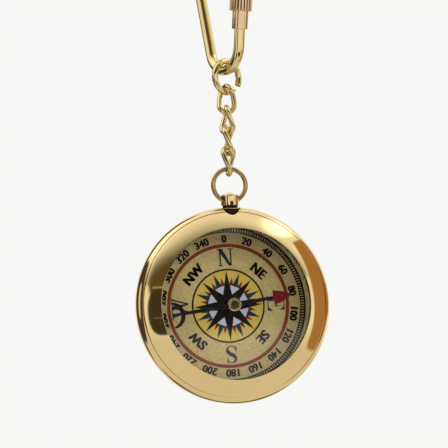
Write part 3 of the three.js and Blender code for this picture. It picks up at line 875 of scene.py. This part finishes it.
words = [at_bearing(bold_text(name, 2.22, 0.24), 10.55, bearing)
         for name, bearing in zip(("NE", "SE", "SW", "NW"), range(45, 360, 90))]
degrees = [at_bearing(bold_text(str(degree), 1.72, 0.18), 15.1, degree)
           for degree in range(0, 360, 20)]
letters = [at_bearing(serif_letter(letter, 3.85), 10.95, bearing)
           for letter, bearing in zip("NESW", range(0, 360, 90))]
degree_track = [band(16.52, 16.74), band(17.45, 17.8), bars(180, 16.7, 17.5, 0.6)]

printed("rose_ground", [band(0.9, 8.13)],
        "yellow_ink", (205, 175, 80), (186, 158, 88), 0.01)
printed("rose_disc", [band(0.9, 4.65)],
        "white_ink", (184, 188, 202), (168, 170, 180), 0.02)
printed("red_points", [band(4.6, 4.85), rays(16, 11.25, 4.6, 4.7, 0.45, 6.5)],
        "red_ink", (120, 22, 22), (100, 38, 30), 0.03)
printed("blue_points", [rays(8, 22.5, 4.5, 4.75, 0.64, 7.85), *letters],
        "blue_ink", (23, 41, 62), (40, 54, 72), 0.04)
printed("brown_ring", [band(13.22, 14.0)],
        "brown_ink", (124, 50, 25), (138, 70, 40), 0.01)
printed("black_print", [rays(8, 0, 0, 2.465, 1.04, 7.95), band(7.97, 8.36), *degree_track,
                        *words, *degrees],
        "black_ink", (10, 9, 8), (30, 26, 20), 0.05)

# %% Dial ground
ground = Finish("dial_ground")
mottle = ground.noise(1500.0, 4.0)
drift = ground.noise(45.0, 2.0)
paper_tone = ground.mixed(
    ground.ranged(mottle, 0.3, 0.75), rgb(202, 178, 122), rgb(172, 147, 90))
coat(nodes["dial_plate"], ground.grained(
    mottle, (0.4, 0.55), 0.000003,
    Base_Color=ground.mixed(ground.ranged(drift, 0.4, 0.75, 0.0, 0.5), paper_tone,
                            rgb(212, 190, 138)),
    Specular_IOR_Level=0.25,
))

# %% [markdown]
# The needle is cut from thin plate: a hub ring, two arms, an arrowhead painted red and a crescent
# tail that is black. Each part is a section with small bevels carried along a line, and the parts
# overlap as one cutting does. It lies over the dial at its own depth, so it shifts against the
# print when the eye moves, as a real needle does.

# %% Needle blade
NEEDLE_HEADING = 9.0
BLADE_DEPTH, BLADE_THICKNESS, BEVEL = 5.3, 0.35, 0.07
CRESCENT_CENTRE, CRESCENT_RADIUS, CRESCENT_REACH = -14.85, 2.85, 80


def blade_section(line, across, half_width):
    """An eight-cornered section with bevels at each station: offsets across the line and in
    depth. Returns points (x towards north, z, depth)."""
    w = np.maximum(np.asarray(half_width, dtype=float), BEVEL + 0.01)[:, None]
    t, b = BLADE_THICKNESS, BEVEL
    sign = np.array([1, 1, 1, -1, -1, -1, -1, 1])
    inset = np.array([0, 0, b, b, 0, 0, b, b])
    depth = np.array([b, t - b, t, t, t - b, b, 0, 0])
    offset = sign * (w - inset)
    flat = line[:, None] + offset[..., None] * across[:, None]
    return np.concatenate([
        flat, np.broadcast_to((BLADE_DEPTH + depth)[None, :, None], (*offset.shape, 1))], axis=-1)


def capped(grid):
    """A run of sections closed by its own middle at both ends."""
    first, last = grid[:1].mean(axis=1, keepdims=True), grid[-1:].mean(axis=1, keepdims=True)
    return np.concatenate([np.repeat(first, grid.shape[1], 1), grid,
                           np.repeat(last, grid.shape[1], 1)])


def straight_blade(x, half_width):
    """A part of the blade along x, with half its width at each station."""
    x = np.asarray(x, dtype=float)
    line = np.stack([x, np.zeros(len(x))], axis=-1)
    return capped(blade_section(line, np.array([[0.0, 1]]), half_width))


north = straight_blade([1.25, 5, 9.2, 9.3, 10.7, 12.1, 13.2, 13.5],
                       [0.62, 0.46, 0.34, 1.7, 1.36, 0.8, 0.24, 0.08])
south = straight_blade([-1.25, -6, -11.8], [0.62, 0.46, 0.36])
out = arc((0, 0), 1, -CRESCENT_REACH, CRESCENT_REACH, 40)
middle = CRESCENT_RADIUS * out + [CRESCENT_CENTRE, 0]
crescent = capped(blade_section(middle, out, 0.46 * out[:, 0] ** 0.6 + 0.02))
hub = turned_grid([(1.25, 5.3), (1.43, 5.3), (1.5, 5.37), (1.5, 5.58), (1.43, 5.65),
                   (1.25, 5.65), (1.25, 5.3)], 64)
blade = closed_surface("painted_needle", [
    in_case(turn_z(grid, NEEDLE_HEADING)) for grid in (north, south, crescent, hub)], 25)

# %% [markdown]
# One material paints the whole needle. A Mapping node turns Object coordinates to the needle's
# own direction, and a step along it changes black lacquer to dark red at the arrowhead, with an
# edge that wanders a little as brushed paint does.

# %% Needle paint
paint = Finish("needle_paint")
along = paint.own_axes((0, 0, case_z * MM), (0, -math.radians(NEEDLE_HEADING), 0))["X"]
grain = paint.noise(900.0, 3.0)
north_of_edge = paint.math("ADD", along, paint.ranged(grain, 0.3, 0.7, -0.00004, 0.00004))
blade_material = paint.grained(
    grain, (0.3, 0.45), 0.000005,
    Base_Color=paint.mixed(
        paint.ranged(north_of_edge, 0.00915, 0.00925),
        paint.mixed(paint.ranged(grain, 0.4, 0.8), rgb(12, 11, 12), rgb(26, 24, 22)),
        paint.mixed(paint.ranged(grain, 0.4, 0.8), rgb(92, 8, 10), rgb(64, 10, 12))),
    Specular_IOR_Level=0.2,
)
dress(blade, "needle", blade_material, "needle_lacquer", "needle_blade")

# %% Needle cap, jewel and pivot
inner_brass = brass("inner_brass", (240, 214, 160), (150, 114, 68), (0.1, 0.2), 0.25, 0.1)
cap_profile = rounded(
    [(0.95, 5.6), (0.95, 4.8), (1.15, 4.8), (1.15, 5.7), (1.5, 5.7), (1.5, 6.35), (0.95, 6.35),
     (0.95, 5.6)], [0.03, 0.03, 0, 0.03, 0.16, 0.1])
cap = turned_in_case("needle_bush", cap_profile, 96)
dress(cap, "needle", inner_brass, "inner_brass", "needle_cap")

jewel = turned_in_case("agate_cup", rounded(
    [(0, 5.475), (0.45, 4.975), (0.9, 4.975), (0.9, 6.175), (0, 6.175)], [0.02, 0.03, 0.12]), 64)
agate = Finish("agate")
veins = agate.noise(2400.0, 3.0)
dress(jewel, "needle", agate.grained(
    veins, (0.1, 0.2), 0.000002,
    Base_Color=agate.mixed(agate.ranged(veins, 0.35, 0.7), rgb(40, 31, 22), rgb(66, 52, 36)),
), "jewel_glass", "needle_jewel")

steel = Finish("pin_steel")
turning = steel.noise(1.0, 2.0, steel.stretched((200, 9000, 200)))
coat(nodes["pivot_pin"], steel.grained(
    turning, (0.18, 0.32), 0.000003,
    Metallic=1.0,
    Base_Color=steel.mixed(steel.ranged(turning, 0.3, 0.7), rgb(190, 192, 196), rgb(160, 162, 168)),
))
coat(nodes["pivot_boss"], inner_brass)

spacer_profile = rounded([(18.5, 3), (18.5, 0.1), (19.3, 0.1), (19.3, 6.55), (18.5, 6.55),
                          (18.5, 3)], [0.08, 0.08, 0.08, 0.08])
spacer = turned_in_case("turned_spacer", spacer_profile)
# The spacer is coloured a very dark brass: painted shade, for the shadow under the bezel's lip
shaded_spacer_brass = brass("shaded_spacer_brass", (70, 56, 34), (44, 34, 20), (0.18, 0.3), 0.4)
dress(spacer, "case", shaded_spacer_brass, "inner_brass", "spacer_ring")

# %% [markdown]
# The window is a flat disc of clear glass. Real glass lets lamp light through to the dial, but a
# path tracer would lose it in refraction, so the shader lets shadow rays pass straight through.

# %% Window glass
glass = Finish("window_glass")
smears = glass.noise(60.0, 3.0)
glass.set(
    Base_Color=glass.mixed(glass.ranged(smears, 0.4, 0.8), rgb(252, 254, 252), rgb(246, 250, 246)),
    Roughness=glass.ranged(smears, 0.4, 0.8, 0.0, 0.012),
    Transmission_Weight=1.0,
    IOR=1.5,
)
window = turned_in_case("window_disc", rounded(
    [(0, 6.65), (18.7, 6.65), (18.7, 7.55), (0, 7.55)], [0.12, 0.12]))
glass.show(glass.either(glass.add("LightPath").outputs["Is Shadow Ray"],
                        glass.shader.outputs[0], glass.add("BsdfTransparent").outputs[0]))
dress(window, "case", glass.material, "crystal_glass", "crystal")

# %% [markdown]
# The stage is a pale floor and a nearly white surround. Polished metal shows what stands round
# it, so the light is built like a studio's: three large soft lamps that the metal doesn't see,
# and cards that put dark, brown or bright shapes into the brass. A card is a patch of a sphere
# round the case with soft edges. Only mirrored rays and rays that went through the glass see it,
# and a nearer card hides what is behind it.

# %% Soft cards
def card(name, azimuths, elevations, colour, soft, distance, strength=1.0, power=12, low=-1,
         lean=0):
    """A patch of a sphere round the case that only reflections see. With u and v from -1 to 1
    over the patch, its outline is |u|^power + |v|^power = 1, cut off level where v is low.
    Inside it the light's share rises from 0 to 1 over a soft number of degrees: at the left,
    right, lower and upper sides. Elevations in falling order turn the outline upside down. The
    tip at v = 1 leans aside by a number of degrees times v^4."""
    count = 49
    u, v = np.meshgrid(np.linspace(-1, 1, count), np.linspace(low, 1, count), indexing="ij")
    half_a, half_e = np.ptp(azimuths) / 2, np.ptp(elevations) / 2
    reach_a, reach_e = ((1 - abs(way) ** power) ** (1 / power) for way in (v, u))
    share = np.ones_like(u)
    for room, width in zip(((reach_a + u) * half_a, (reach_a - u) * half_a,
                            (np.minimum(reach_e, -low) + v) * half_e, (reach_e - v) * half_e),
                           soft):
        step = np.clip(room / width, 0, 1)
        share = share * step**2 * (3 - 2 * step)
    a = np.mean(azimuths) + half_a * u + lean * v**4
    e = np.mean(elevations) + (elevations[1] - elevations[0]) / 2 * v
    points = (np.array(CASE_CENTRE) + distance * direction(a, e)) / MM
    piece = add_mesh(name, *shape_of(points))
    piece.data.attributes.new("share", "FLOAT", "POINT").data.foreach_set("value", share.ravel())
    finish = Finish(name)
    fade = finish.add("Attribute")
    fade.attribute_name = "share"
    clear = finish.add("BsdfTransparent").outputs[0]
    glow = finish.add("Emission", Color=rgb(*colour), Strength=strength).outputs[0]
    finish.show(finish.either(fade.outputs["Fac"], clear, glow))
    coat(piece, finish.material)
    for ray in ("camera", "diffuse", "volume_scatter", "shadow"):
        setattr(piece, "visible_" + ray, False)


card("upper_left_card", (-160, -48), (30, 84), (255, 255, 252), (12, 12, 12, 12), 0.6, 1.35)
card("upper_right_card", (40, 100), (39, 60), (255, 255, 255), (24, 4, 6, 10), 0.45, 2.3, power=3)
card("back_left_card", (-162, -120), (-28, 76), (96, 84, 58), (4, 4, 4, 4), 0.55)
card("back_low_card", (-236, -124), (-60, -34), (96, 84, 58), (4, 4, 4, 4), 0.55)
card("left_card", (-132, -62), (-24, 36), (70, 64, 68), (4, 2, 3, 3), 0.09, power=2.2)
card("left_light_card", (-104, -82), (-7, 20), (226, 222, 214), (3, 3, 3, 3), 0.085, power=3)
card("upper_line_card", (-53, -37), (14.2, 15.8), (176, 164, 124), (1, 1, 0.5, 0.5), 0.13)
card("lower_line_card", (-52, -38), (-5.4, -4.2), (116, 108, 82), (1, 1, 0.4, 0.4), 0.13)
card("side_card", (-56.5, -32), (-17, 15), (64, 59, 43), (1.6, 1, 1.6, 0.8), 0.14, power=2.6)
card("left_brown_card", (-57, -34), (6, 44), (94, 80, 51), (4, 4, 1.5, 26), 0.2, power=2.6)
card("front_card", (-62, 70), (-46, 70), (84, 76, 48), (12, 12, 4, 30), 0.5, power=2, low=0.05)
card("far_left_card", (-128, -70), (-4, 15), (84, 72, 46), (4, 12, 4, 4), 0.6)
card("far_right_card", (76, 120), (-4, 15), (150, 100, 56), (8, 8, 4, 4), 0.6)
card("glass_card", (-10, 34), (-6, 22), (30, 29, 26), (1, 1, 6, 1), 0.08, power=20)
card("olive_card", (48, 59), (-6, 34), (160, 150, 118), (4, 2, 6, 8), 0.2)
card("brown_card", (67, 104), (73, -25), (170, 128, 80), (1.5, 5, 1.5, 2), 0.08, power=2.6,
     low=-0.32, lean=-14)


# %% Lamps and floor
LAMP_DISTANCE, LAMP_SIZE = 0.9, 0.8


def lamp(name, azimuth, elevation, power):
    """A square soft lamp aimed at the case."""
    data = bpy.data.lights.new(name, "AREA")
    data.size, data.energy = LAMP_SIZE, power
    light = new_object(name, data)
    out = Vector(direction(azimuth, elevation))
    aim = (-out).to_track_quat("-Z", "Y").to_matrix().to_4x4()
    light.matrix_world = Matrix.Translation(CASE_CENTRE + LAMP_DISTANCE * out) @ aim
    light.visible_camera = light.visible_glossy = False


lamp("top_lamp", -20, 62, 4.0)
lamp("left_lamp", -50, 25, 4.8)
lamp("right_lamp", 42, 15, 4.6)

floor = add_mesh("floor", [(-2000, -2000, -200), (-2000, 2000, -200), (2000, -2000, -200),
                           (2000, 2000, -200)], [[0, 2, 3, 1]])
paper = Finish("pale_floor")
fibres = paper.noise(400.0, 4.0)
coat(floor, paper.set(
    Base_Color=paper.mixed(paper.ranged(fibres, 0.3, 0.7), rgb(238, 237, 234), rgb(232, 231, 228)),
    Roughness=0.8,
    Normal=paper.bump(fibres, 0.0002),
))
floor.visible_glossy = False

# %% [markdown]
# The surround has a tone for each kind of ray. To the camera it is nearly white, and as light it
# is grey. Mirrored or through the glass it is nearly white, and dimmer below the horizon. The
# floor is left out of reflections, so that the metal shows this soft step instead of it.

# %% Surround
world = bpy.data.worlds.new("studio")
bpy.context.scene.world = world
sky = Nodes(world)
sky.tree.nodes.clear()


def background(*colour):
    """A plain background of one colour."""
    return sky.add("Background", Color=rgb(*colour)).outputs[0]


ray_kind = sky.add("LightPath").outputs
upward = sky.add("SeparateXYZ", Vector=sky.add("TexCoord").outputs["Generated"]).outputs["Z"]
white = background(247, 247, 245)
mirrored = sky.either(sky.ranged(upward, -0.1, -0.35), white, background(218, 215, 209))
shown = sky.either(ray_kind["Is Glossy Ray"], background(203, 203, 203), mirrored)
shown = sky.either(ray_kind["Is Transmission Ray"], shown, mirrored)
sky.add("OutputWorld", Surface=sky.either(ray_kind["Is Camera Ray"], shown, white))
bpy.context.scene.view_settings.view_transform = "Standard"
